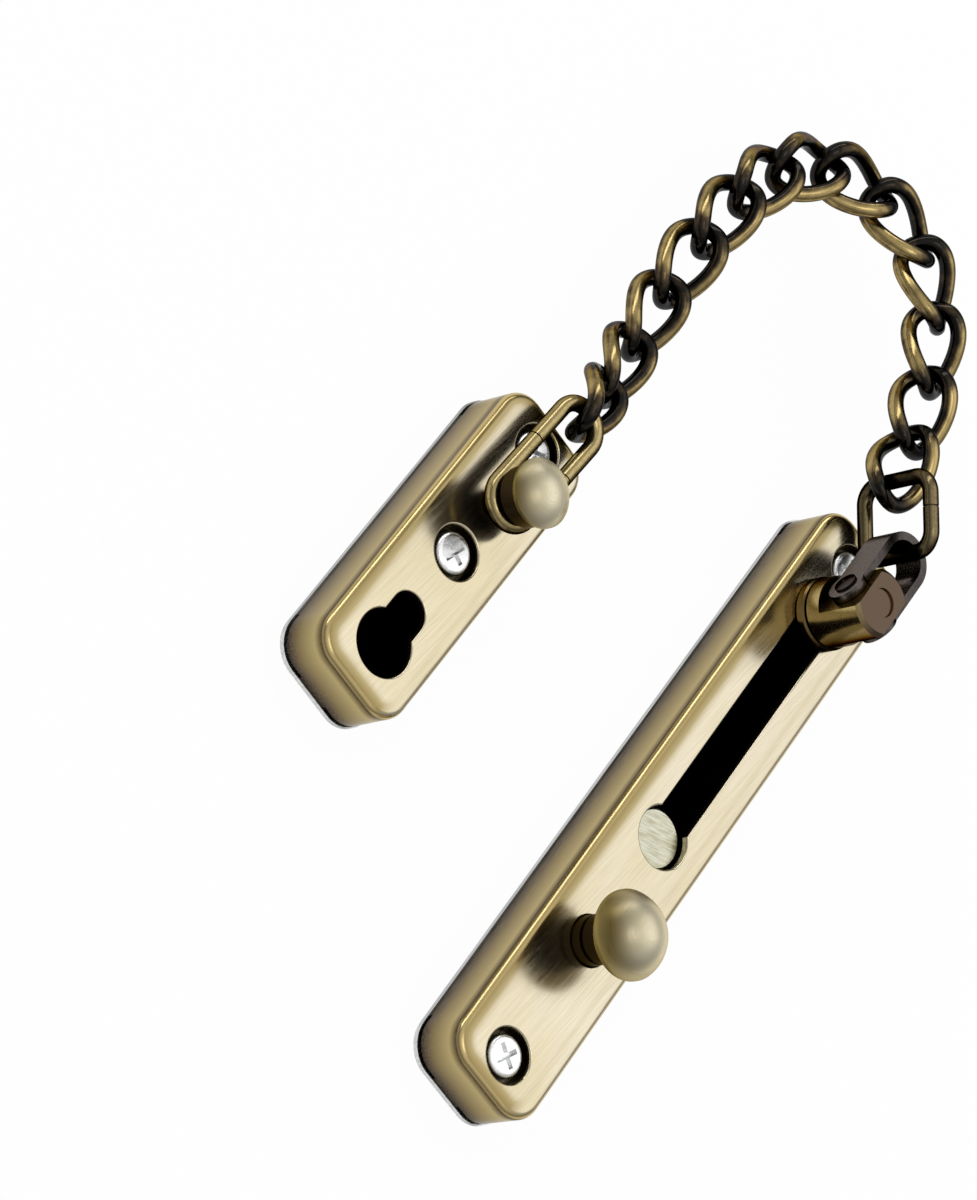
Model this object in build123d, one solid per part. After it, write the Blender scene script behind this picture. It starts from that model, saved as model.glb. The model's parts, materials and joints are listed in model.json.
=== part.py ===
from build123d import *
from math import cos, sin, radians, pi, copysign
import os

os.makedirs("parts", exist_ok=True)

# Door chain lying on its backs. Units are mm and +Z points away from the door.
# The origin is the middle of the door plate's back face, +X runs to its press knob.

# Plates
plate_width = 26.0
plate_height = 13.9
door_length = 167.0
frame_length = 81.6
wall = 1.5
corner_radius = 7.0
face_rounding = 1.8
hole_rounding = 0.4
back_thickness = 1.2
back_margin = 0.3
corner_lift = 0.8
corner_lift_reach = 9.0

# Clearances between moving pieces
play = 0.3
shaft_play = 0.05

# Screws, which hold each cover on its back plate, and their distance from the ends
screw_radius = 2.2
screw_head_radius = 4.6
screw_head_height = 2.0
cup_radius = 5.85
cup_depth = 2.6
cup_wall = 1.2
door_screw_margin = 9.2
frame_screw_margin = 8.5
recess_width = 1.1
recess_length = 5.6
recess_depth = 1.2

# Keyhole slot of the door plate, its end and entrance measured from the screw and the knob
slot_half_width = 4.6
entrance_to_knob = 31.0
entrance_radius = 6.8
slot_to_screw = 9.4

# Press knob with its locking bar, stopper and spring
knob_to_screw = 33.3
knob_neck_radius = 5.25
knob_head_radius = 9.3
knob_head_base = 22.8
knob_rim = 1.2
knob_dome = 3.6
knob_groove_z = 16.4
groove_depth = 0.5
groove_width = 1.0
bar_bottom = 8.2
bar_thickness = 1.6
bar_half_width = 3.8
stopper_radius = 6.5
stopper_thickness = 1.6
spring_radius = 3.2
spring_wire_radius = 0.35
spring_turns = 4.5

# Slider, which runs in the slot, and the post that turns on it
shoe_radius = 6.4
shoe_bottom = 8.2
flange_radius = 8.0
flange_thickness = 2.3
pivot_radius = 3.0
pivot_height = 5.7
post_radius = 7.6
post_height = 15.7
post_flat = 4.6
post_flat_start = 4.0
post_chamfer = 0.9
dish_radius = 3.2
dish_depth = 0.5

# Clevis on the post, bent from strap around the D-link
pin_height = 26.5
pin_radius = 1.5
pin_head_radius = 2.6
pin_head_height = 0.9
strap_thickness = 1.8
strap_width = 7.4
ear_radius = 4.3
clevis_reach = 20.4

# D-link, which stands on edge in the clevis
d_wire_radius = 1.65
d_width = 19.8
d_length = 16.4
d_corner = 4.2
d_heading = 222.0

# Curb chain
link_wire_radius = 1.7
link_half_length = 9.5
link_half_width = 5.9
link_twist = 45.0
link_squareness = 2.5
pitch = 14.8
link_points = 16
# Heading and climb of each link in degrees, from the ring to the D-link.
link_heading_angles = (172, 183, 189, 187, 180, 165, 142, 112, 83, 53, 32, 20, 10)
link_climb_angles = (-18, -7, 6, 12, 6, -1, 0, 6, 9, 4, 0, 0, 3)
# Roll of each link about its own length in degrees, where the end links meet ring and D-link.
link_roll_angles = (27, 17, 8, 0, 0, 0, 0, 0, 0, 0, 10, 24, 38)

# Wire ring and the stud on the frame plate
ring_wire_radius = 1.6
ring_radius = 5.3
ring_length = 24.6
ring_height = 19.1
ring_heading = 176.5
ring_seam = 14.0
seam_width = 0.35
seam_depth = 0.3
stud_neck_radius = 3.4
stud_head_radius = 7.5
stud_head_base = 22.3
stud_rim = 1.1
stud_dome = 3.6
stud_tail_radius = 5.6
stud_tail_height = 2.0

# Frame plate, its stud and keyhole measured from its ends
frame_turn = -0.8
stud_to_end = 25.4
keyhole_to_end = 12.7
keyhole_radius = 7.1
keyhole_neck_offset = 9.1
keyhole_neck_radius = 4.5

# Places and heights that follow
door_screw_reach = door_length / 2 - door_screw_margin
slot_end_x = slot_to_screw - door_screw_reach
slider_x = slot_end_x + slot_half_width + play
knob_x = door_screw_reach - knob_to_screw
entrance_x = knob_x - entrance_to_knob
frame_screws_along = (frame_screw_margin - frame_length / 2, 0.0)
stud_along = stud_to_end - frame_length / 2
keyhole_along = frame_length / 2 - keyhole_to_end
keyhole_neck_along = keyhole_along - keyhole_neck_offset
face_inside = plate_height - wall
bar_top = bar_bottom + bar_thickness
shoe_top = face_inside - play
flange_bottom = plate_height + play
flange_top = flange_bottom + flange_thickness
post_bottom = flange_top + play
strap_inside = post_flat + 0.15
slider_neck_radius = slot_half_width - play


def upright(radius, bottom, top):
    """A cylinder standing on Z between two heights."""
    return Pos(0, 0, bottom) * Cylinder(radius, top - bottom, align=(Align.CENTER, Align.CENTER, Align.MIN))


def block(x_from, x_to, half_width, bottom, top):
    """A block along X, symmetric about Y = 0."""
    middle = Pos((x_from + x_to) / 2, 0, bottom)
    return middle * Box(x_to - x_from, 2 * half_width, top - bottom, align=(Align.CENTER, Align.CENTER, Align.MIN))


def rounded_plate(length, width, corner, bottom, top):
    """A plate with round corners in plan."""
    return Pos(0, 0, bottom) * extrude(RectangleRounded(length, width, corner), top - bottom)


def screw_cup(x):
    """The sunk cup around one screw hole."""
    floor = plate_height - cup_depth
    cup = upright(cup_radius + cup_wall, floor - wall, plate_height)
    return Pos(x, 0, 0) * cup


def pressed_cover(length, screw_places, cuts):
    """A pressed cover with sunk screw cups, cut through by the given shapes."""
    shell = rounded_plate(length, plate_width, corner_radius, back_thickness, plate_height)
    top_edges = shell.faces().sort_by(Axis.Z)[-1].edges()
    shell = fillet(top_edges, face_rounding)
    room = rounded_plate(
        length - 2 * wall, plate_width - 2 * wall, corner_radius - wall, back_thickness, face_inside
    )
    shell = shell - room
    for x in screw_places:
        shell = shell + screw_cup(x)
        shell = shell - Pos(x, 0, 0) * upright(cup_radius, plate_height - cup_depth, plate_height + 1)
        shell = shell - Pos(x, 0, 0) * upright(screw_radius + play, 0, plate_height)
    for cut in cuts:
        shell = shell - cut
    face = shell.faces().sort_by(Axis.Z)[-1]
    rim_edges = [edge for wire in face.inner_wires() for edge in wire.edges()]
    shell = fillet(rim_edges, hole_rounding)
    lift = Box(2 * corner_lift_reach, 2 * corner_lift_reach, 2 * corner_lift)
    for side_x in (-1, 1):
        for side_y in (-1, 1):
            place = Pos(side_x * length / 2, side_y * plate_width / 2, back_thickness)
            shell = shell - place * lift
    return shell


def back_plate(length, screw_places):
    """The flat plate under a cover, a little wider than the cover."""
    plate = rounded_plate(
        length + 2 * back_margin,
        plate_width + 2 * back_margin,
        corner_radius + back_margin,
        0,
        back_thickness,
    )
    for x in screw_places:
        plate = plate - Pos(x, 0, 0) * upright(screw_radius, -1, back_thickness + 1)
    return plate


def screw(turn):
    """A pan head screw with a cross recess, its tip level with the plate's back."""
    floor = plate_height - cup_depth
    head = upright(screw_head_radius, floor, floor + screw_head_height)
    head = fillet(head.faces().sort_by(Axis.Z)[-1].edges(), screw_head_height * 0.6)
    top = floor + screw_head_height
    for angle in (turn, turn + 90):
        cross = Pos(0, 0, top) * Rot(0, 0, angle) * Box(recess_length, recess_width, 2 * recess_depth)
        head = head - cross
    return head + upright(screw_radius, 0.1, floor)


def domed_head(radius, base, rim, dome):
    """A round head with a low dome over a plain rim."""
    sphere_radius = (radius * radius + dome * dome) / (2 * dome)
    ball = Pos(0, 0, base + rim + dome - sphere_radius) * Sphere(sphere_radius)
    return upright(radius, base, base + rim + dome) & ball


def rounded_loop(half_x, half_y, corner):
    """A closed rounded rectangle in the XY plane, for wire to follow."""
    return RectangleRounded(2 * half_x, 2 * half_y, corner).wire()


def wire_along(path, radius):
    """Round wire swept along a path."""
    start = Plane(origin=path @ 0, z_dir=path % 0)
    return sweep(start * Circle(radius), path=path)


def seam(radius):
    """The butt seam of a bent wire, a fine groove around its axis along X."""
    sleeve = Cylinder(radius + 1, seam_width) - Cylinder(radius - seam_depth, seam_width)
    return Rot(0, 90, 0) * sleeve


def curb_link():
    """One link: a squared oval of wire, its ends twisted to both sides."""
    points = []
    for index in range(link_points):
        angle = 2 * pi * index / link_points
        along = link_half_length * copysign(abs(cos(angle)) ** (2 / link_squareness), cos(angle))
        across = link_half_width * copysign(abs(sin(angle)) ** (2 / link_squareness), sin(angle))
        twist = radians(-link_twist * along / link_half_length)
        points.append((along, across * cos(twist), across * sin(twist)))
    path = Spline(*points, periodic=True)
    first_half = wire_along(path.trim(0, 0.5), link_wire_radius)
    return first_half + wire_along(path.trim(0.5, 1), link_wire_radius)


def save(shape, name):
    """Write one piece."""
    export_step(shape, "parts/" + name + ".step")


# Door plate
door_screws = (-door_screw_reach, door_screw_reach)
slot = block(slot_end_x + slot_half_width, entrance_x, slot_half_width, face_inside - 1, plate_height + 1)
slot = slot + Pos(slot_end_x + slot_half_width, 0, 0) * upright(
    slot_half_width, face_inside - 1, plate_height + 1
)
slot = slot + Pos(entrance_x, 0, 0) * upright(entrance_radius, face_inside - 1, plate_height + 1)
knob_hole = Pos(knob_x, 0, 0) * upright(knob_neck_radius + shaft_play, face_inside - 1, plate_height + 1)
save(pressed_cover(door_length, door_screws, [slot, knob_hole]), "door_cover")
save(back_plate(door_length, door_screws), "door_back_plate")
save(Pos(-door_screw_reach, 0, 0) * screw(20), "door_screw_upper")
save(Pos(door_screw_reach, 0, 0) * screw(65), "door_screw_lower")

# Press knob, locking bar, stopper and spring
knob = upright(knob_neck_radius, bar_top, knob_head_base)
knob_groove = upright(knob_neck_radius + 1, knob_groove_z, knob_groove_z + groove_width) - upright(
    knob_neck_radius - groove_depth, knob_groove_z, knob_groove_z + groove_width
)
knob = knob - knob_groove + domed_head(knob_head_radius, knob_head_base, knob_rim, knob_dome)
save(Pos(knob_x, 0, 0) * knob, "press_knob")
bar = block(entrance_x - stopper_radius + 1, knob_x + knob_neck_radius, bar_half_width, bar_bottom, bar_top)
save(bar, "lock_bar")
stopper = upright(stopper_radius, bar_top, bar_top + stopper_thickness)
stopper = chamfer(stopper.faces().sort_by(Axis.Z)[-1].edges(), 0.4)
save(Pos(entrance_x, 0, 0) * stopper, "stopper_disc")
spring_bottom = back_thickness + spring_wire_radius
spring_rise = bar_bottom - spring_wire_radius - spring_bottom
coil = Helix(spring_rise / spring_turns, spring_rise, spring_radius)
coil_start = Plane(origin=coil @ 0, z_dir=coil % 0)
spring = sweep(coil_start * Circle(spring_wire_radius), path=coil, is_frenet=True)
save(Pos(knob_x, 0, spring_bottom) * spring, "press_spring")

# Slider
slider = upright(shoe_radius, shoe_bottom, shoe_top)
slider = slider + upright(slider_neck_radius, shoe_top, flange_bottom)
flange = upright(flange_radius, flange_bottom, flange_top)
flange = chamfer(flange.edges().filter_by(GeomType.CIRCLE), 0.4)
slider = slider + flange + upright(pivot_radius, flange_top, flange_top + pivot_height)
save(Pos(slider_x, 0, 0) * slider, "slider")

# Turning post with two flats for the clevis
post = upright(post_radius, post_bottom, post_bottom + post_height)
post = chamfer(post.faces().sort_by(Axis.Z)[-1].edges(), post_chamfer)
post = chamfer(post.faces().sort_by(Axis.Z)[0].edges(), 0.4)
post = post - upright(dish_radius, post_bottom + post_height - dish_depth, post_bottom + post_height + 1)
for side in (-1, 1):
    cheek = Pos(0, side * (post_flat + post_radius), post_bottom + post_flat_start) * Box(
        4 * post_radius, 2 * post_radius, post_height, align=(Align.CENTER, Align.CENTER, Align.MIN)
    )
    post = post - cheek
post = post - upright(pivot_radius + shaft_play, post_bottom, flange_top + pivot_height + play)
post = post - Pos(0, 0, pin_height) * Rot(90, 0, 0) * Cylinder(pin_radius + shaft_play, 4 * post_radius)
save(Pos(slider_x, 0, 0) * post, "slider_post")

# Clevis and its rivet
strap_outside = strap_inside + strap_thickness
bend_x = -clevis_reach + strap_outside
strap = block(bend_x, ear_radius, strap_outside, -ear_radius, ear_radius)
strap = strap + Pos(bend_x, 0, 0) * upright(strap_outside, -ear_radius, ear_radius)
strap = strap - block(bend_x, ear_radius + 1, strap_inside, -ear_radius - 1, ear_radius + 1)
strap = strap - Pos(bend_x, 0, 0) * upright(strap_inside, -ear_radius - 1, ear_radius + 1)
side_view = Rot(90, 0, 0) * Cylinder(ear_radius, 4 * strap_outside)
side_view = side_view + Pos(-clevis_reach / 2, 0, 0) * Box(clevis_reach, 4 * strap_outside, strap_width)
strap = strap & side_view
strap = strap - Rot(90, 0, 0) * Cylinder(pin_radius, 4 * strap_outside)
save(Pos(slider_x, 0, pin_height) * strap, "clevis")
rivet = Rot(90, 0, 0) * Cylinder(pin_radius, 2 * strap_outside)
for side in (-1, 1):
    rivet_head = domed_head(pin_head_radius, 0, pin_head_height / 2, pin_head_height / 2)
    rivet = rivet + Pos(0, side * strap_outside, 0) * Rot(-90 * side, 0, 0) * rivet_head
save(Pos(slider_x, 0, pin_height) * rivet, "clevis_pin")

# D-link, standing in the bend of the clevis
d_x = slider_x - clevis_reach + strap_thickness + d_wire_radius + play
d_loop = wire_along(rounded_loop(d_length / 2, d_width / 2, d_corner), d_wire_radius)
d_loop = d_loop - Pos(1.0, d_width / 2, 0) * seam(d_wire_radius)
d_loop = Pos(d_length / 2, 0, 0) * d_loop
save(Pos(d_x, 0, pin_height) * Rot(0, 0, d_heading) * Rot(90, 0, 0) * d_loop, "d_link")

# Chain, counted from the ring to the D-link
overlap = link_half_length - pitch / 2
chain_x = d_x + (d_length - overlap) * cos(radians(d_heading))
chain_y = (d_length - overlap) * sin(radians(d_heading))
for heading, climb in zip(link_heading_angles, link_climb_angles):
    chain_x = chain_x - pitch * cos(radians(climb)) * cos(radians(heading))
    chain_y = chain_y - pitch * cos(radians(climb)) * sin(radians(heading))
chain_start = Vector(chain_x, chain_y, ring_height)
link = curb_link()
joint = chain_start
for number, (heading, climb, roll) in enumerate(zip(link_heading_angles, link_climb_angles, link_roll_angles), start=1):
    turn = Rot(0, 0, heading) * Rot(0, -climb, 0)
    middle = turn * Rot(roll, 0, 0) * Pos(pitch / 2, 0, 0)
    save(Pos(joint.X, joint.Y, joint.Z) * middle * link, "link_%02d" % number)
    level = pitch * cos(radians(climb))
    step = Vector(level * cos(radians(heading)), level * sin(radians(heading)), pitch * sin(radians(climb)))
    joint = joint + step

# Wire ring, a long loop from the stud to the first link
ring_back = Rot(0, 0, ring_heading)
stud_to_joint = ring_length + ring_radius - overlap
stud_x = chain_start.X - stud_to_joint * cos(radians(ring_heading))
stud_y = chain_start.Y - stud_to_joint * sin(radians(ring_heading))
ring = wire_along(
    rounded_loop(ring_length / 2 + ring_radius, ring_radius, ring_radius - 0.01), ring_wire_radius
)
ring = Pos(ring_length / 2, 0, 0) * ring
ring = ring - Pos(ring_seam, -ring_radius, 0) * seam(ring_wire_radius)
ring = ring - Pos(ring_seam, ring_radius, 0) * seam(ring_wire_radius)
save(Pos(stud_x, stud_y, ring_height) * ring_back * ring, "stud_ring")

# Frame plate
frame_middle = Pos(stud_x, stud_y, 0) * Rot(0, 0, frame_turn) * Pos(-stud_along, 0, 0)
keyhole = Pos(keyhole_along, 0, 0) * upright(keyhole_radius, face_inside - 1, plate_height + 1)
keyhole = keyhole + Pos(keyhole_neck_along, 0, 0) * upright(
    keyhole_neck_radius, face_inside - 1, plate_height + 1
)
keyhole = keyhole + block(
    keyhole_neck_along, keyhole_along, keyhole_neck_radius, face_inside - 1, plate_height + 1
)
stud_hole = Pos(stud_along, 0, 0) * upright(stud_neck_radius, face_inside - 1, plate_height + 1)
save(frame_middle * pressed_cover(frame_length, frame_screws_along, [keyhole, stud_hole]), "frame_cover")
save(frame_middle * back_plate(frame_length, frame_screws_along), "frame_back_plate")
save(frame_middle * Pos(frame_screws_along[0], 0, 0) * screw(30), "frame_screw_upper")
save(frame_middle * Pos(frame_screws_along[1], 0, 0) * screw(75), "frame_screw_lower")
stud = upright(stud_neck_radius, face_inside, stud_head_base)
stud = stud + upright(stud_tail_radius, face_inside - stud_tail_height, face_inside)
stud = stud + domed_head(stud_head_radius, stud_head_base, stud_rim, stud_dome)
save(frame_middle * Pos(stud_along, 0, 0) * stud, "frame_stud")
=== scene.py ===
import json
import math
import bpy
import numpy as np
from mathutils import Matrix, Vector


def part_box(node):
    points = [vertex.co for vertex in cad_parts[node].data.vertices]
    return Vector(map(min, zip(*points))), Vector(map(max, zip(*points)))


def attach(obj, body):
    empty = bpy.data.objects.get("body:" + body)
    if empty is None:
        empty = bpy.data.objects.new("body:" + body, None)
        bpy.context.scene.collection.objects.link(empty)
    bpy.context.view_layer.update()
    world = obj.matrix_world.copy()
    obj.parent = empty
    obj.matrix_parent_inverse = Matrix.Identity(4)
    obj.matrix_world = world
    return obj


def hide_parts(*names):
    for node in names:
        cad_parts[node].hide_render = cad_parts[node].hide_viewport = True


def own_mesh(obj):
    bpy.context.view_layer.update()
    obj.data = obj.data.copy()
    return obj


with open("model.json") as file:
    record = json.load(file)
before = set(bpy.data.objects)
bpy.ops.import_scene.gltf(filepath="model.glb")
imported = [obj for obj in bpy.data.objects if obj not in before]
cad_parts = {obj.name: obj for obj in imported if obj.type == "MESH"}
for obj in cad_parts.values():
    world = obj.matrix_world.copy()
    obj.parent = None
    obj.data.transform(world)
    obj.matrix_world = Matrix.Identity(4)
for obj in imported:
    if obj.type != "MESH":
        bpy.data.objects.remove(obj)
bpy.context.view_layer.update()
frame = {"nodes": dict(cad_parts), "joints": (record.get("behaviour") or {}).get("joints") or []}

# Door chain: two pressed covers on steel back plates, with a curb chain between them.
# Lengths are in metres, as in the frame, apart from the turned profiles and the covers' colour steps.

noiseSpan = (0.3, 0.7)        # nearly all values of the noise lie between these
noiseRoughness = 0.6


def toLinear(hexColour):
    # an sRGB hex colour as the linear values a shader wants
    parts = [int(hexColour[i:i + 2], 16) / 255 for i in (1, 3, 5)]
    return tuple(c / 12.92 if c <= 0.04045 else ((c + 0.055) / 1.055) ** 2.4 for c in parts) + (1.0,)


def addNode(tree, kind, inputs=(), **settings):
    # one node with its settings; inputs come in the order of its sockets or as a dictionary,
    # and each is a value, a hex colour or the output of another node
    node = tree.nodes.new("ShaderNode" + kind)
    for name, setting in settings.items():
        setattr(node, name, setting)
    for socket, value in inputs.items() if isinstance(inputs, dict) else enumerate(inputs):
        if isinstance(value, bpy.types.NodeSocket):
            tree.links.new(value, node.inputs[socket])
        else:
            node.inputs[socket].default_value = toLinear(value) if isinstance(value, str) else value
    return node


def startMaterial(name):
    material = bpy.data.materials.new(name)
    material.use_nodes = True
    material.node_tree.nodes.clear()
    return material, material.node_tree


def finishMetal(tree, colour, rough, tint, relief=None, coat={}):
    # metal that reflects its tint at grazing angles; its relief is a pattern with a strength and a depth
    inputs = {"Base Color": colour, "Roughness": rough, "Metallic": 1.0, "Specular Tint": tint, **coat}
    if relief:
        pattern, strength, depth = relief
        bump = addNode(tree, "Bump", {"Height": pattern, "Strength": strength, "Distance": depth})
        inputs["Normal"] = bump.outputs[0]
    shader = addNode(tree, "BsdfPrincipled", inputs)
    addNode(tree, "OutputMaterial", {"Surface": shader.outputs[0]})


def layered(tree, base, *layers):
    # colours laid over the base one after another, each by its own share
    for share, colour in layers:
        # sockets 6 and 7 are the two colours, and output 2 is their mix
        base = addNode(tree, "Mix", {0: share, 6: base, 7: colour}, data_type="RGBA").outputs[2]
    return base


def stretchedNoise(tree, spacing, turn=0.0, detail=3.0, place=None):
    # noise whose grains are as long as spacing on each axis, turned about the upright axis
    if place is None:
        place = addNode(tree, "TexCoord").outputs["Object"]
    turned = addNode(tree, "Mapping", {"Vector": place, "Rotation": (0, 0, turn)}).outputs[0]
    sized = addNode(tree, "Mapping", {"Vector": turned, "Scale": [1 / s for s in spacing]}).outputs[0]
    inputs = {"Vector": sized, "Scale": 1.0, "Detail": detail, "Roughness": noiseRoughness}
    return addNode(tree, "TexNoise", inputs).outputs[0]


def placeAndFlat(tree):
    # where a point lies, and the same without its height
    place = addNode(tree, "TexCoord").outputs["Object"]
    return place, addNode(tree, "VectorMath", (place, (1, 1, 0)), operation="MULTIPLY").outputs[0]


def depthInside(tree, flat, box, radius):
    # how far a flat place lies inside a rectangle with rounded corners: the radius, less the distance
    # to the smaller rectangle on which the corners' centres lie, which counts below 0 within it
    low, high = box
    middle, half = (low + high) / 2, (high - low) / 2
    flatMiddle = (middle.x, middle.y, 0)
    cornerCentre = (half.x - radius, half.y - radius, 0)
    centred = addNode(tree, "VectorMath", (flat, flatMiddle), operation="SUBTRACT").outputs[0]
    mirrored = addNode(tree, "VectorMath", (centred,), operation="ABSOLUTE").outputs[0]
    past = addNode(tree, "VectorMath", (mirrored, cornerCentre), operation="SUBTRACT").outputs[0]
    corner = addNode(tree, "VectorMath", (past, (0, 0, 0)), operation="MAXIMUM").outputs[0]
    rounded = addNode(tree, "VectorMath", (corner,), operation="LENGTH").outputs["Value"]
    parts = addNode(tree, "SeparateXYZ", (past,)).outputs
    nearer = addNode(tree, "Math", (parts[0], parts[1]), operation="MAXIMUM").outputs[0]
    within = addNode(tree, "Math", (nearer, 0.0), operation="MINIMUM").outputs[0]
    outside = addNode(tree, "Math", (rounded, within), operation="ADD").outputs[0]
    return addNode(tree, "Math", (radius, outside), operation="SUBTRACT").outputs[0]


def fillRamp(node, steps):
    # the steps' places and colours, after elements are added up to their number
    elements = node.color_ramp.elements
    while len(elements) < len(steps):
        elements.new(0.5)
    for element, (place, colour) in zip(elements, steps):
        element.position = place
        element.color = toLinear(colour)


coverFinish = {
    "topColour": "#D8CEB6",       # toning rubbed off the face
    "warmColour": "#CBBE98",      # where more of the toning is left
    "warmSpan": (0.38, 0.66), "warmShare": 0.6, "patchSize": 0.022,
    "edgeTint": "#F0ECE4",        # nearly white, because a dark tint browns the sides at grazing angles
    "cornerRadius": 0.007,
    # way from the face over the shoulder and down the side, in mm:
    # above 0 it is inwards from the outline, below 0 it is downwards.
    # Over the sides' darker brown gold the steps lay a painted highlight line along the shoulder,
    # painted shade bands beside it and painted shade at the foot of the side
    "sideToneAndLightSteps": (
        (-13.2, "#0E0B0A"), (-11.8, "#1F1818"), (-10.6, "#4E4136"), (-8.2, "#7F6E4A"), (-3.4, "#B09E6C"),
        (-1.9, "#6E5E3E"), (-1.2, "#3E3220"), (-0.4, "#C9B27A"), (0.5, "#CDB67E"), (1.5, "#8C7A4C"),
        (3.0, "#A9996F"), (5.2, "#D8CEB6"),
    ),
    "faceFrom": (0.003, 0.0052),  # way over which the steps pass into the plain face
    "plainFrom": (0.006, 0.003),  # the same on the high y side, from its edge,
    "plainEdge": (0.0004, 0.0012),    # and how near to the outline it comes there
    "cupShadeColour": "#1B150F",       # painted shade in the sunk cups round the screws
    "cupRadius": 0.0060, "cupFade": 0.0001, "cupDepth": (0.0008, 0.0011),
    "strokeColour": "#A39779", "strokeSpan": (0.35, 0.7), "strokeShare": 0.2,
    "brushLength": 0.012,
    "brushSpacing": 0.00042,      # real strokes are about 0.1 mm apart: drawn coarser, so that they show
    "brushTurn": math.radians(7),
    "rough": (0.15, 0.27), "strokeStrength": 0.5, "strokeDepth": 0.000004,
}


def brushedAntiqueBrass(name, look, box, screws):
    # Antique brass plate on pressed steel, toned dark and brushed back, then lacquered:
    # gives a champagne face with fine strokes, and darker brown gold on the drawn sides,
    # with a painted highlight along the shoulder and painted shade beside it and at the sides' foot.
    material, tree = startMaterial(name)
    high = box[1]
    strokeSize = (look["brushLength"], look["brushSpacing"], look["brushSpacing"])
    strokes = stretchedNoise(tree, strokeSize, look["brushTurn"])
    patches = stretchedNoise(tree, (look["patchSize"] * 2, look["patchSize"], look["patchSize"]), detail=2)
    place, flat = placeAndFlat(tree)
    parts = addNode(tree, "SeparateXYZ", (place,)).outputs
    inward = depthInside(tree, flat, box, look["cornerRadius"])
    below = addNode(tree, "Math", (high.z, parts[2]), operation="SUBTRACT").outputs[0]
    way = addNode(tree, "Math", (inward, below), operation="SUBTRACT").outputs[0]
    first, last = look["sideToneAndLightSteps"][0][0], look["sideToneAndLightSteps"][-1][0]
    wayShare = addNode(tree, "MapRange", (way, first / 1000, last / 1000)).outputs[0]
    # painted highlight and painted shade over the shoulder and down the sides, from the steps
    sides = addNode(tree, "ValToRGB", (wayShare,))
    fillRamp(sides, [((step - first) / (last - first), colour) for step, colour in look["sideToneAndLightSteps"]])
    warm = addNode(tree, "MapRange", (patches, *look["warmSpan"], 0, look["warmShare"])).outputs[0]
    face = layered(tree, look["topColour"], (warm, look["warmColour"]))
    # on the high y side the plain face colour covers the painted shoulder bands nearly up to the outline
    edgeSpan = [high.y - inset for inset in look["plainFrom"]]
    highYSide = addNode(tree, "MapRange", (parts[1], *edgeSpan)).outputs[0]
    clearOfEdge = addNode(tree, "MapRange", (way, *look["plainEdge"])).outputs[0]
    plain = addNode(tree, "Math", (highYSide, clearOfEdge), operation="MULTIPLY").outputs[0]
    inner = addNode(tree, "MapRange", (way, *look["faceFrom"])).outputs[0]
    faceShare = addNode(tree, "Math", (plain, inner), operation="MAXIMUM").outputs[0]
    colour = layered(tree, sides.outputs[0], (faceShare, face))
    # painted shade in each sunk cup round a screw
    sunk = addNode(tree, "MapRange", (below, *look["cupDepth"])).outputs[0]
    cupSpan = (look["cupRadius"] - look["cupFade"], look["cupRadius"])
    for screw in screws:
        spot = addNode(tree, "VectorMath", (flat, (screw.x, screw.y, 0)), operation="DISTANCE")
        near = addNode(tree, "MapRange", (spot.outputs["Value"], *cupSpan, 1, 0)).outputs[0]
        inCup = addNode(tree, "Math", (near, sunk), operation="MULTIPLY").outputs[0]
        colour = layered(tree, colour, (inCup, look["cupShadeColour"]))
    struck = addNode(tree, "MapRange", (strokes, *look["strokeSpan"], 0, look["strokeShare"])).outputs[0]
    colour = layered(tree, colour, (struck, look["strokeColour"]))
    rough = addNode(tree, "MapRange", (strokes, *noiseSpan, *look["rough"])).outputs[0]
    relief = (strokes, look["strokeStrength"], look["strokeDepth"])
    finishMetal(tree, colour, rough, look["edgeTint"], relief)
    return material


knobFinish = {
    # the head's colour on its lit side: a painted highlight
    "litDomeColour": "#F8EFD2",
    "darkColour": "#5E5029",      # painted shade on the side away from the light
    "paintedLightSide": (-0.5, 0.57, 0.3), "paintedLightSpan": (-0.4, 0.55),
    # rim colour: painted shade towards the head's rim, also used for worn patches and lathe rings
    "rimShadeAndWearColour": "#A8955E", "rimSpan": (0.006, 0.0094), "rimShare": 0.5,
    # neck colour: painted shade under the head
    "neckShadeColour": "#33291B", "neckFade": 0.0006,
    "wornSpan": (0.4, 0.7), "wornShare": 0.12, "patchSize": 0.006,
    "ringSpacing": 0.00035,       # lathe strokes, drawn about three times as coarse as real
    "ringArc": 1.25,              # length of a stroke round the axis, in radians
    "edgeTint": "#D8CFB8",
    "rough": (0.34, 0.44), "ringStrength": 0.6, "ringDepth": 0.000002,
}


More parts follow.
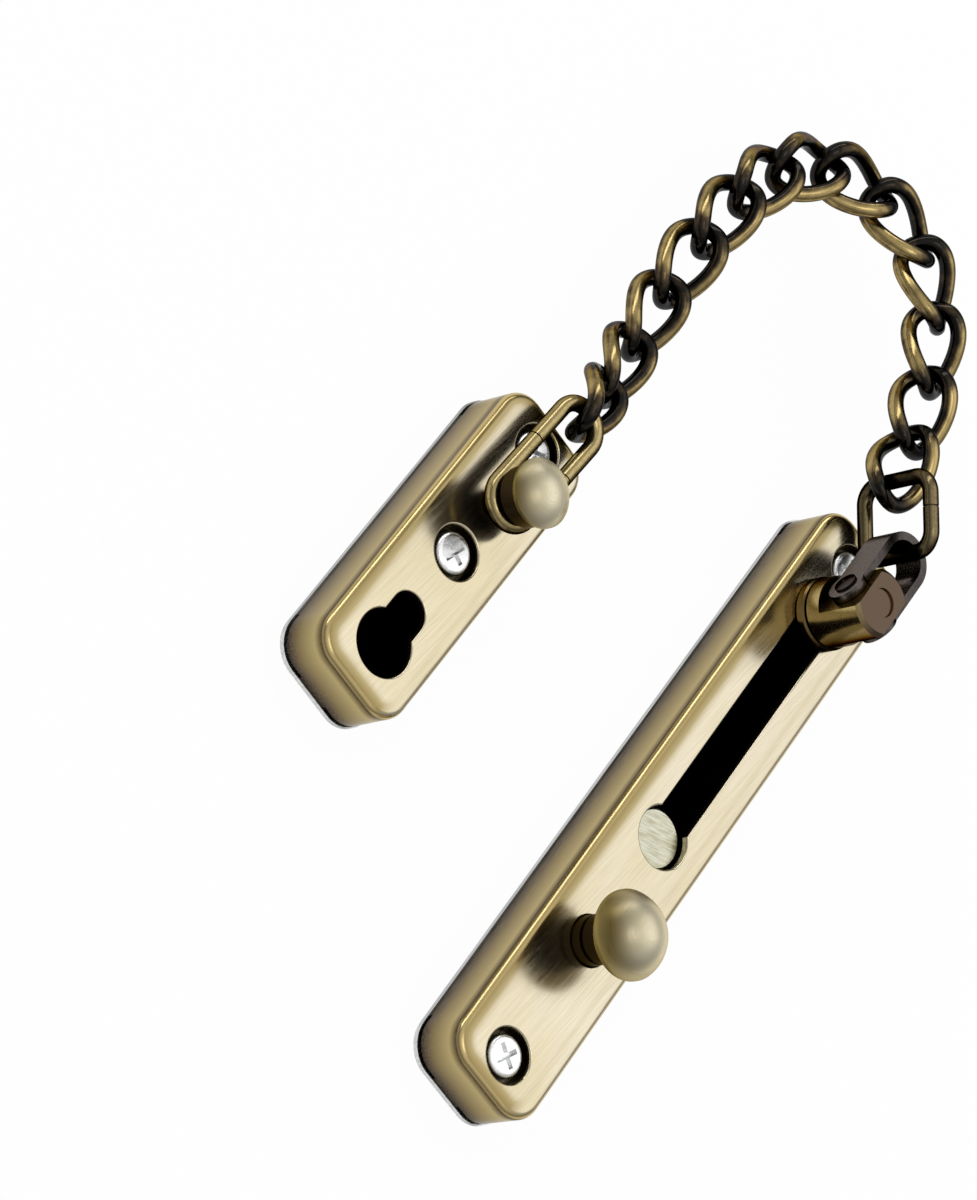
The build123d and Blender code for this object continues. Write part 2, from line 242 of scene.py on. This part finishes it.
def turnedSatinBrass(name, look, centre, headFoot):
    # Turned brass with a satin, toned finish: rings left by the lathe draw the highlight into a fan.
    # The head is painted paler on the side towards the light and darker towards its rim, as shade,
    # and the neck under the head is painted dark as the head's shade.
    material, tree = startMaterial(name)
    source = addNode(tree, "TexCoord").outputs
    centred = addNode(tree, "Mapping", (source["Object"], (-centre.x, -centre.y, 0))).outputs[0]
    parts = addNode(tree, "SeparateXYZ", (centred,)).outputs
    flat = addNode(tree, "CombineXYZ", (parts[0], parts[1])).outputs[0]
    radius = addNode(tree, "VectorMath", (flat,), operation="LENGTH").outputs["Value"]
    turn = addNode(tree, "Math", (parts[1], parts[0]), operation="ARCTAN2").outputs[0]
    ringed = addNode(tree, "CombineXYZ", (radius, turn, parts[2])).outputs[0]
    rings = stretchedNoise(tree, (look["ringSpacing"], look["ringArc"], look["ringSpacing"]), place=ringed)
    patches = stretchedNoise(tree, [look["patchSize"]] * 3, detail=2)
    # painted light: the head is paler on the side that faces the light
    facing = addNode(tree, "VectorMath", (source["Normal"], look["paintedLightSide"]), operation="DOT_PRODUCT")
    pale = addNode(tree, "MapRange", (facing.outputs["Value"], *look["paintedLightSpan"])).outputs[0]
    # painted shade towards the rim of the head
    rim = addNode(tree, "MapRange", (radius, *look["rimSpan"], 0, look["rimShare"])).outputs[0]
    worn = addNode(tree, "MapRange", (patches, *look["wornSpan"], 0, look["wornShare"])).outputs[0]
    struck = addNode(tree, "MapRange", (rings, *look["wornSpan"], 0, look["wornShare"])).outputs[0]
    # painted shade on the neck under the head, up to the head's foot
    head = addNode(tree, "MapRange", (parts[2], headFoot - look["neckFade"], headFoot)).outputs[0]
    headColour = layered(
        tree, look["darkColour"], (pale, look["litDomeColour"]),
        (rim, look["rimShadeAndWearColour"]), (worn, look["rimShadeAndWearColour"]), (struck, look["rimShadeAndWearColour"]),
    )
    colour = layered(tree, look["neckShadeColour"], (head, headColour))
    rough = addNode(tree, "MapRange", (rings, *noiseSpan, *look["rough"])).outputs[0]
    relief = (rings, look["ringStrength"], look["ringDepth"])
    finishMetal(tree, colour, rough, look["edgeTint"], relief)
    return material


def addPiece(name, mesh, body, node):
    # a new piece that rides on a body and stands in for a node
    piece = bpy.data.objects.new(name, mesh)
    bpy.context.scene.collection.objects.link(piece)
    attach(piece, body)
    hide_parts(node)
    return piece


# each shape: radius and height in millimetres from the foot to the foot of the dome, the dome's top,
# and the foot of the head, where its finish starts
knobShape = {
    "profile": (
        (5.25, 9.8), (5.25, 16.4), (4.75, 16.5), (4.75, 17.3), (5.25, 17.4), (5.25, 22.6), (5.6, 22.8),
        (5.6, 24.7), (8.9, 24.8), (9.3, 25.0), (9.4, 25.3), (9.4, 26.0),
    ),
    "domeTop": 32.5, "headFoot": 24.9,
}
studShape = {
    "profile": (
        (5.6, 10.4), (5.6, 12.4), (3.4, 12.4), (3.4, 22.3), (6.1, 22.4), (6.4, 22.7), (6.4, 26.9),
        (6.9, 27.1), (7.2, 27.3), (7.3, 27.6), (7.3, 28.2),
    ),
    "domeTop": 31.7, "headFoot": 27.3,
}
# faces around, up the dome and between two points of a profile, and the angle past which an edge is sharp
latheSteps = {"around": 128, "dome": 28, "between": 3, "sharpAngle": math.radians(35)}


def turnedMesh(name, shape, centre):
    # a profile turned about an upright axis; the dome is part of a sphere through the rim and the top
    corners = np.array(shape["profile"])
    share = np.linspace(0, 1, latheSteps["between"], endpoint=False)[None, :, None]
    runs = (corners[:-1, None] * (1 - share) + corners[1:, None] * share).reshape(-1, 2)
    rimRadius, rimHeight = corners[-1]
    rise = shape["domeTop"] - rimHeight
    ballRadius = (rimRadius ** 2 + rise ** 2) / (2 * rise)
    widest = math.acos((ballRadius - rise) / ballRadius)
    lean = np.linspace(widest, 0, latheSteps["dome"], endpoint=False)
    dome = np.stack([ballRadius * np.sin(lean), shape["domeTop"] - ballRadius * (1 - np.cos(lean))], axis=1)
    profile = np.concatenate([runs, dome]) / 1000
    around = np.arange(latheSteps["around"]) * 2 * math.pi / latheSteps["around"]
    rings = np.stack([
        centre[0] + profile[:, 0, None] * np.cos(around)[None],
        centre[1] + profile[:, 0, None] * np.sin(around)[None],
        np.repeat(profile[:, 1, None], len(around), axis=1),
    ], axis=2).reshape(-1, 3)
    poleHeights = (profile[0, 1], shape["domeTop"] / 1000)
    poles = np.array([(centre[0], centre[1], height) for height in poleHeights])
    # four corners to a face along the profile, and a fan to each pole
    count, wide = len(profile), len(around)
    row, column = np.meshgrid(np.arange(count - 1), np.arange(wide), indexing="ij")
    following = (column + 1) % wide
    sides = np.stack([
        row * wide + column, row * wide + following, (row + 1) * wide + following, (row + 1) * wide + column
    ], axis=2).reshape(-1, 4)
    first, second = np.arange(wide), (np.arange(wide) + 1) % wide
    foot = np.stack([np.full(wide, count * wide), second, first], axis=1)
    last = (count - 1) * wide
    crown = np.stack([np.full(wide, count * wide + 1), last + first, last + second], axis=1)
    faces = sides.tolist() + foot.tolist() + crown.tolist()
    mesh = bpy.data.meshes.new(name)
    mesh.from_pydata(np.concatenate([rings, poles]).tolist(), [], faces)
    mesh.shade_smooth()
    mesh.set_sharp_from_angle(angle=latheSteps["sharpAngle"])
    return mesh


def middleOf(node):
    low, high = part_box(node)
    return (low + high) / 2


def paint(material, *names):
    # one material in every slot of the named nodes
    for name in names:
        for place in frame["nodes"][name].material_slots:
            place.material = material


for side in ("door", "frame"):
    cover = side + "_cover"
    screwPlaces = [middleOf("%s_screw_%s" % (side, end)) for end in ("upper", "lower")]
    brass = brushedAntiqueBrass("brushedAntiqueBrass_" + side, coverFinish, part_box(cover), screwPlaces)
    paint(brass, cover)
for name, finishName, shape, body, node in (
    ("pressKnobTurned", "turnedSatinKnob", knobShape, "press_button", "press_knob"),
    ("frameStudTurned", "turnedSatinStud", studShape, "frame_plate", "frame_stud"),
):
    centre = middleOf(node)
    turned = addPiece(name, turnedMesh(name, shape, centre), body, node)
    turned.data.materials.append(turnedSatinBrass(finishName, knobFinish, centre, shape["headFoot"] / 1000))
print("covers painted, knob and stud turned")


curbLink = {
    "halfLength": 0.0095, "halfWidth": 0.0059, "squareness": 2.5, "twist": math.radians(45),
    "wireRadius": 0.00179,
    "rolls": (27, 17, 8, 0, 0, 0, 0, 0, 0, 0, 10, 24, 38),     # about each link's length, from the ring
    "ovalPoints": 16, "stepsAlong": 128, "stepsAround": 24,
    "bendSpan": (0.45, 0.9),      # share of the half length over which a long side passes into the bend
    "flatWeight": 0.75, "outerWeight": 0.45,      # how much the flats and the outer side were rubbed
    "rubbedAndLitSpan": (0.2, 0.85),    # where the rubbing starts and is full
}
tumbledFinish = {
    "darkColour": "#14100B", "bronzeColour": "#4C3E27", "rubbedAndLitColour": "#AA9460", "edgeTint": "#2A2318",
    "bronzeSpan": (0.0, 0.4), "rubbedAndLitSpan": (0.35, 0.95), "unevenness": 0.22,
    "patchSize": 0.003, "rough": (0.15, 0.27), "coat": {"Coat Weight": 0.3, "Coat Roughness": 0.1},
}


def smoothShare(value, low, high):
    # how far the value has come from low to high, eased at both ends: three squares less two cubes
    share = np.clip((value - low) / (high - low), 0, 1)
    return share * share * (3 - 2 * share)


def linkSurface(look):
    # a squared oval of wire whose ends are turned to both sides: a closed curve through points of the oval,
    # by its Fourier series, with a circle carried round it that keeps one side facing away from the middle
    known = look["ovalPoints"]
    angle = 2 * math.pi * np.arange(known) / known
    power = 2 / look["squareness"]
    along = look["halfLength"] * np.sign(np.cos(angle)) * np.abs(np.cos(angle)) ** power
    across = look["halfWidth"] * np.sign(np.sin(angle)) * np.abs(np.sin(angle)) ** power
    twist = -look["twist"] * along / look["halfLength"]
    loop = np.stack([along, across * np.cos(twist), across * np.sin(twist)], axis=1)
    series = np.fft.rfft(loop, axis=0)
    # the highest wave counts once in the short series and twice in the long one
    series[-1] *= 0.5
    path = np.fft.irfft(series, look["stepsAlong"], axis=0) * look["stepsAlong"] / known
    ahead = np.roll(path, -1, axis=0) - np.roll(path, 1, axis=0)
    ahead /= np.linalg.norm(ahead, axis=1, keepdims=True)
    outward = path - (path * ahead).sum(axis=1, keepdims=True) * ahead
    outward /= np.linalg.norm(outward, axis=1, keepdims=True)
    sideways = np.cross(ahead, outward)
    around = 2 * math.pi * np.arange(look["stepsAround"]) / look["stepsAround"]
    cosine, sine = np.cos(around)[None, :, None], np.sin(around)[None, :, None]
    normal = cosine * outward[:, None] + sine * sideways[:, None]
    points = path[:, None] + look["wireRadius"] * normal
    # rubbed bright on the long sides, on the flats of the chain and outside; dark in the bends and inside
    straight = 1 - smoothShare(np.abs(path[:, 0]) / look["halfLength"], *look["bendSpan"])
    exposed = np.abs(normal[:, :, 2]) * look["flatWeight"] + cosine[:, :, 0] * look["outerWeight"]
    return points, straight[:, None] * smoothShare(exposed, *look["rubbedAndLitSpan"])


def linkMesh(name, look, start, end, roll):
    # the surface placed from one joint to the next, rolled about its length
    points, rubbedAndLit = linkSurface(look)
    xAxis = (end - start).normalized()
    yAxis = Vector((-xAxis.y, xAxis.x, 0)).normalized()
    axes = Matrix((xAxis, yAxis, xAxis.cross(yAxis))).transposed()
    axes = axes @ Matrix.Rotation(math.radians(roll), 3, "X")
    placed = points.reshape(-1, 3) @ np.array(axes).T + np.array((start + end) / 2)
    long, wide = points.shape[:2]
    row, column = np.meshgrid(np.arange(long), np.arange(wide), indexing="ij")
    nextRow, nextColumn = (row + 1) % long, (column + 1) % wide
    faces = np.stack([
        row * wide + column, row * wide + nextColumn, nextRow * wide + nextColumn, nextRow * wide + column
    ], axis=2).reshape(-1, 4)
    mesh = bpy.data.meshes.new(name)
    mesh.from_pydata(placed.tolist(), [], faces.tolist())
    share = mesh.attributes.new("rubbedShare", "FLOAT", "POINT")
    share.data.foreach_set("value", rubbedAndLit.ravel().astype(np.float32))
    mesh.shade_smooth()
    return mesh


def tumbledBronze(look):
    # Steel wire links, bronze plated, toned nearly black, tumbled until the high sides shine, then
    # lacquered: olive gold along the sides, black in the bends, with sharp glints of the lacquer.
    material, tree = startMaterial("tumbledBronzeChain")
    share = addNode(tree, "Attribute", attribute_name="rubbedShare").outputs["Fac"]
    patches = stretchedNoise(tree, [look["patchSize"]] * 3)
    most = look["unevenness"]
    shift = addNode(tree, "MapRange", (patches, *noiseSpan, -most, most)).outputs[0]
    uneven = addNode(tree, "Math", (share, shift), operation="ADD").outputs[0]
    bronze = addNode(tree, "MapRange", (uneven, *look["bronzeSpan"])).outputs[0]
    rubbedAndLit = addNode(tree, "MapRange", (uneven, *look["rubbedAndLitSpan"])).outputs[0]
    layers = (bronze, look["bronzeColour"]), (rubbedAndLit, look["rubbedAndLitColour"])
    colour = layered(tree, look["darkColour"], *layers)
    rough = addNode(tree, "MapRange", (patches, *noiseSpan, *look["rough"])).outputs[0]
    finishMetal(tree, colour, rough, look["edgeTint"], coat=look["coat"])
    return material


chainMaterial = tumbledBronze(tumbledFinish)
# a slide has no place of its own; each link reaches from the joint before it to its own joint
jointPlace = {joint["name"]: Vector(joint["pos_m"]) for joint in frame["joints"] if "pos_m" in joint}
before = jointPlace["ring_swing"]
for number, roll in enumerate(curbLink["rolls"], start=1):
    node, name = "link_%02d" % number, "curbLink%02d" % number
    after = jointPlace[node + "_swing"]
    link = addPiece(name, linkMesh(name, curbLink, before, after, roll), node, node)
    link.data.materials.append(chainMaterial)
    before = after
print("chain:", len(curbLink["rolls"]), "links")


# for each toned part: the side that faces the light is painted bright as a highlight, over uneven patches,
# and the span is where that painted highlight starts and is full
dLinkFinish = {
    "darkColour": "#1D1811", "rubbedAndLitColour": "#8F7F5C", "edgeTint": "#2A2318",
    "paintedLitSide": (0.3, -0.45, 0.84), "rubbedAndLitSpan": (0.65, 1.3), "unevenness": 0.35, "patchSize": 0.005,
    "grainSize": 0.0006, "grainDepth": 0.000003, "rough": (0.17, 0.26),
}
ringFinish = dict(
    dLinkFinish, darkColour="#2C2417", rubbedAndLitColour="#AC9A6C", edgeTint="#6B5831", rubbedAndLitSpan=(0.45, 1.0)
)
clevisFinish = {
    "darkColour": "#2A2624", "rubbedAndLitColour": "#8D8682", "edgeTint": "#5A5450",
    "paintedLitSide": (0.1, -0.98, 0.1), "rubbedAndLitSpan": (0.1, 0.9), "unevenness": 0.4, "patchSize": 0.005,
    "grainSize": 0.0005, "grainDepth": 0.00001, "rough": (0.16, 0.3),
}
rivetFinish = dict(clevisFinish, rubbedAndLitColour="#4A4441", rough=(0.1, 0.18))
postFinish = {
    "darkColour": "#625346", "rubbedAndLitColour": "#B7A26C", "edgeTint": "#6B5A38",
    "paintedLitSide": (0.7, -0.72, -0.1), "rubbedAndLitSpan": (0.4, 1.2), "unevenness": 0.4, "patchSize": 0.006,
    "grainSize": 0.0004, "grainDepth": 0.000006, "rough": (0.16, 0.28),
}
sliderFinish = dict(postFinish, darkColour="#231C12", rubbedAndLitColour="#8E774A")
tonedGrain = {"span": (0.45, 0.75), "share": 0.3, "strength": 0.4}


def tonedMetal(name, look):
    # Plated steel, toned dark, with a painted highlight: the side that faces the light is painted bright,
    # with uneven patches, and fine grain keeps some of the dark toning.
    material, tree = startMaterial(name)
    patches = stretchedNoise(tree, [look["patchSize"]] * 3)
    grain = stretchedNoise(tree, [look["grainSize"]] * 3, detail=2)
    side = addNode(tree, "TexCoord").outputs["Normal"]
    # painted light: brighter on the side that faces the light, darker away from it
    facing = addNode(tree, "VectorMath", (side, look["paintedLitSide"]), operation="DOT_PRODUCT")
    terms = (patches, look["unevenness"], facing.outputs["Value"])
    uneven = addNode(tree, "Math", terms, operation="MULTIPLY_ADD").outputs[0]
    rubbedAndLit = addNode(tree, "MapRange", (uneven, *look["rubbedAndLitSpan"])).outputs[0]
    hollow = addNode(tree, "MapRange", (grain, *tonedGrain["span"], 0, tonedGrain["share"])).outputs[0]
    colour = layered(tree, look["darkColour"], (rubbedAndLit, look["rubbedAndLitColour"]), (hollow, look["darkColour"]))
    rough = addNode(tree, "MapRange", (grain, *noiseSpan, *look["rough"])).outputs[0]
    relief = (grain, tonedGrain["strength"], look["grainDepth"])
    finishMetal(tree, colour, rough, look["edgeTint"], relief)
    return material


for node, name, look in (
    ("d_link", "tumbledAndLitBronzeLink", dLinkFinish), ("stud_ring", "rubbedAndLitBrassRing", ringFinish),
    ("clevis", "gunmetalStrap", clevisFinish), ("clevis_pin", "gunmetalRivet", rivetFinish),
    ("slider_post", "tonedBrassPost", postFinish), ("slider", "tonedBrassSlider", sliderFinish),
):
    paint(tonedMetal(name, look), node)


screwFinish = {
    "low": "#E2E3E4", "high": "#FBFBFA", "edgeTint": "#BFC0C0", "rough": (0.24, 0.34),
    "grain": (0.002, 0.0006, 0.0006), "turn": 0.6,
}
backPlateFinish = {
    "low": "#BDBEBE", "high": "#E4E4E2", "edgeTint": "#BFC0C0", "rough": (0.18, 0.32),
    "grain": (0.02, 0.0005, 0.0005), "turn": 0.0,
    # painted shade where the cover lies over the plate
    "paintedShadeUnderCover": "#090808",
    "coveredSpan": (0.0008, 0.0016),      # how far in from the edge the cover hides it
}
stopperFinish = {
    "low": "#A9A68B", "high": "#D9D8C6", "edgeTint": "#BFC0C0", "rough": (0.25, 0.42),
    "grain": (0.004, 0.00045, 0.00045), "turn": 1.1,
}
# near black: painted shade on the parts inside the covers
insideFinish = {
    "low": "#060505", "high": "#0D0C0A", "edgeTint": "#1A1815", "rough": (0.55, 0.6),
    "grain": (0.05, 0.01, 0.01), "turn": 0.0,
}
steelStrokes = {"span": (0.35, 0.65), "strength": 0.5, "depth": 0.000005}


def brushedSteel(name, look, coveredBox=None):
    # Bare or bright plated steel, rolled and lightly scratched: pale, with fine straight strokes.
    # Under a cover it is painted dark, as shade.
    material, tree = startMaterial(name)
    strokes = stretchedNoise(tree, look["grain"], look["turn"])
    bright = addNode(tree, "MapRange", (strokes, *steelStrokes["span"])).outputs[0]
    colour = layered(tree, look["low"], (bright, look["high"]))
    if coveredBox:
        inward = depthInside(tree, placeAndFlat(tree)[1], coveredBox, coverFinish["cornerRadius"])
        # painted shade on the plate under the cover
        hidden = addNode(tree, "MapRange", (inward, *look["coveredSpan"])).outputs[0]
        colour = layered(tree, colour, (hidden, look["paintedShadeUnderCover"]))
    rough = addNode(tree, "MapRange", (strokes, *noiseSpan, *look["rough"])).outputs[0]
    relief = (strokes, steelStrokes["strength"], steelStrokes["depth"])
    finishMetal(tree, colour, rough, look["edgeTint"], relief)
    return material


screws = ["%s_screw_%s" % (side, end) for side in ("door", "frame") for end in ("upper", "lower")]
paint(brushedSteel("brightZincScrew", screwFinish), *screws)
for side in ("door", "frame"):
    backPlate = side + "_back_plate"
    paint(brushedSteel("rolledSteelBack_" + side, backPlateFinish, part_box(backPlate)), backPlate)
paint(brushedSteel("scratchedSteelDisc", stopperFinish), "stopper_disc")
paint(brushedSteel("steelInsidePaintedShade", insideFinish), "lock_bar", "press_spring")

# wire drawn a little stouter than its solid, which is kept thin for its clearances
stouterBy = {"d_link": 0.00008, "stud_ring": 0.00018}
for node, depth in stouterBy.items():
    grown = frame["nodes"][node].modifiers.new("stouterWire", "DISPLACE")
    grown.mid_level = 0.0
    grown.strength = depth

# the CAD spring, copied as its own piece that rides on the press button
spring = frame["nodes"]["press_spring"]
coil = addPiece("pressSpringCoil", spring.data.copy(), "press_button", "press_spring")
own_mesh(coil)
print("finishes: all nodes painted")


studio = {
    "target": (0.0, -0.03, 0.01),     # the point that the softboxes face
    # height on the sky, from level 0 to straight up 1, and how pale the room is there
    "roomSteps": (
        (0.0, "#E2E2E0"), (0.08, "#C9C9C7"), (0.25, "#858587"), (0.5, "#A6A6A8"), (0.8, "#EAEAEA"),
        (1.0, "#F4F4F4"),
    ),
    "roomStrength": 1.0,
    "softboxes": (
        # name, azimuth, elevation, distance, width, height, radiance
        ("backSoftbox", 238, 52, 1.3, 1.3, 1.0, 0.62),
        ("sideStrip", -38, 26, 1.2, 1.4, 0.22, 3.6),
        ("topSoftbox", 60, 78, 1.4, 0.6, 0.6, 1.5),
    ),
}
floorSheet = {
    "halfSide": 3.0,
    "paperColour": "#F6F6F5", "fibreColour": "#F4F4F3", "fibreSize": 0.004,
    "shadow": 0.04,               # share of the floor that takes light and shadow; the rest is white
}


def direction(azimuth, elevation):
    # the way to a place that stands at azimuth, counted from -y towards +x, and at elevation above level
    a, e = math.radians(azimuth), math.radians(elevation)
    return Vector((math.sin(a) * math.cos(e), -math.cos(a) * math.cos(e), math.sin(e)))


def addSoftbox(name, azimuth, elevation, distance, width, height, radiance):
    # power for a wanted radiance: radiance times pi times the area
    lamp = bpy.data.lights.new(name, "AREA")
    lamp.shape = "RECTANGLE"
    lamp.size, lamp.size_y = width, height
    lamp.energy = radiance * math.pi * width * height
    away = direction(azimuth, elevation)
    holder = bpy.data.objects.new(name, lamp)
    holder.location = Vector(studio["target"]) + away * distance
    holder.rotation_mode = "QUATERNION"
    holder.rotation_quaternion = away.to_track_quat("Z", "Y")
    bpy.context.scene.collection.objects.link(holder)


def seenWhite(tree):
    # 1 for what the eye, a reflection or a clear material sees directly
    rays = addNode(tree, "LightPath").outputs
    seen = rays["Is Camera Ray"]
    for other in ("Is Glossy Ray", "Is Transmission Ray"):
        seen = addNode(tree, "Math", (seen, rays[other]), operation="MAXIMUM").outputs[0]
    return seen


def makeFloor(look):
    # a wide flat sheet of pale paper, nearly white to the eye, with a faint soft shadow
    material, tree = startMaterial("palePaper")
    fibres = stretchedNoise(tree, [look["fibreSize"]] * 3, detail=4)
    fibreShare = addNode(tree, "MapRange", (fibres, *noiseSpan)).outputs[0]
    paper = layered(tree, look["paperColour"], (fibreShare, look["fibreColour"]))
    lit = addNode(tree, "BsdfDiffuse", {"Color": paper}).outputs[0]
    white = addNode(tree, "Emission", {"Color": "#FFFFFF", "Strength": 1.0}).outputs[0]
    share = addNode(tree, "Math", (seenWhite(tree), 1 - look["shadow"]), operation="MULTIPLY").outputs[0]
    shader = addNode(tree, "MixShader", (share, lit, white))
    addNode(tree, "OutputMaterial", {"Surface": shader.outputs[0]})
    mesh = bpy.data.meshes.new("floorSheet")
    half = look["halfSide"]
    corners = [(-half, -half, 0), (half, -half, 0), (half, half, 0), (-half, half, 0)]
    mesh.from_pydata(corners, [], [(0, 1, 2, 3)])
    mesh.materials.append(material)
    floor = bpy.data.objects.new("floorSheet", mesh)
    bpy.context.scene.collection.objects.link(floor)


def makeRoom(look):
    # a grey room, paler overhead, that the metal reflects
    world = bpy.data.worlds.new("studioRoom")
    world.use_nodes = True
    tree = world.node_tree
    tree.nodes.clear()
    skyPlace = addNode(tree, "TexCoord").outputs["Generated"]
    skyHeight = addNode(tree, "SeparateXYZ", (skyPlace,)).outputs[2]
    steps = addNode(tree, "ValToRGB", (skyHeight,))
    fillRamp(steps, look["roomSteps"])
    room = addNode(tree, "Background", {"Color": steps.outputs[0], "Strength": look["roomStrength"]})
    addNode(tree, "OutputWorld", {"Surface": room.outputs[0]})
    bpy.context.scene.world = world


for softbox in studio["softboxes"]:
    addSoftbox(*softbox)
makeFloor(floorSheet)
makeRoom(studio)
print("studio: floor, room and", len(studio["softboxes"]), "softboxes")


camera = {
    "azimuth": 57.899, "elevation": 47.745, "roll": 77.629,
    "distance": 1.1234, "lens": 165.84, "sensorWidth": 36,     # lens and sensor in mm
    "nearest": 0.01, "farthest": 20,                           # what is drawn
    "target": (0.00585, -0.06301, 0.010),
}


def addCamera(look):
    # axes of the camera: back towards the eye, right and up turned by the roll
    back = direction(look["azimuth"], look["elevation"])
    level = Vector((math.cos(math.radians(look["azimuth"])), math.sin(math.radians(look["azimuth"])), 0))
    upright = back.cross(level)
    roll = math.radians(look["roll"])
    right = level * math.cos(roll) + upright * math.sin(roll)
    up = upright * math.cos(roll) - level * math.sin(roll)
    data = bpy.data.cameras.new("photoCamera")
    data.sensor_width, data.lens = look["sensorWidth"], look["lens"]
    data.clip_start, data.clip_end = look["nearest"], look["farthest"]
    eye = bpy.data.objects.new("photoCamera", data)
    place = Matrix((right, up, back)).transposed().to_4x4()
    place.translation = Vector(look["target"]) + back * look["distance"]
    eye.matrix_world = place
    bpy.context.scene.collection.objects.link(eye)
    bpy.context.scene.camera = eye


addCamera(camera)
bpy.context.scene.view_settings.view_transform = "Standard"
print("camera: set at the photograph's angle")
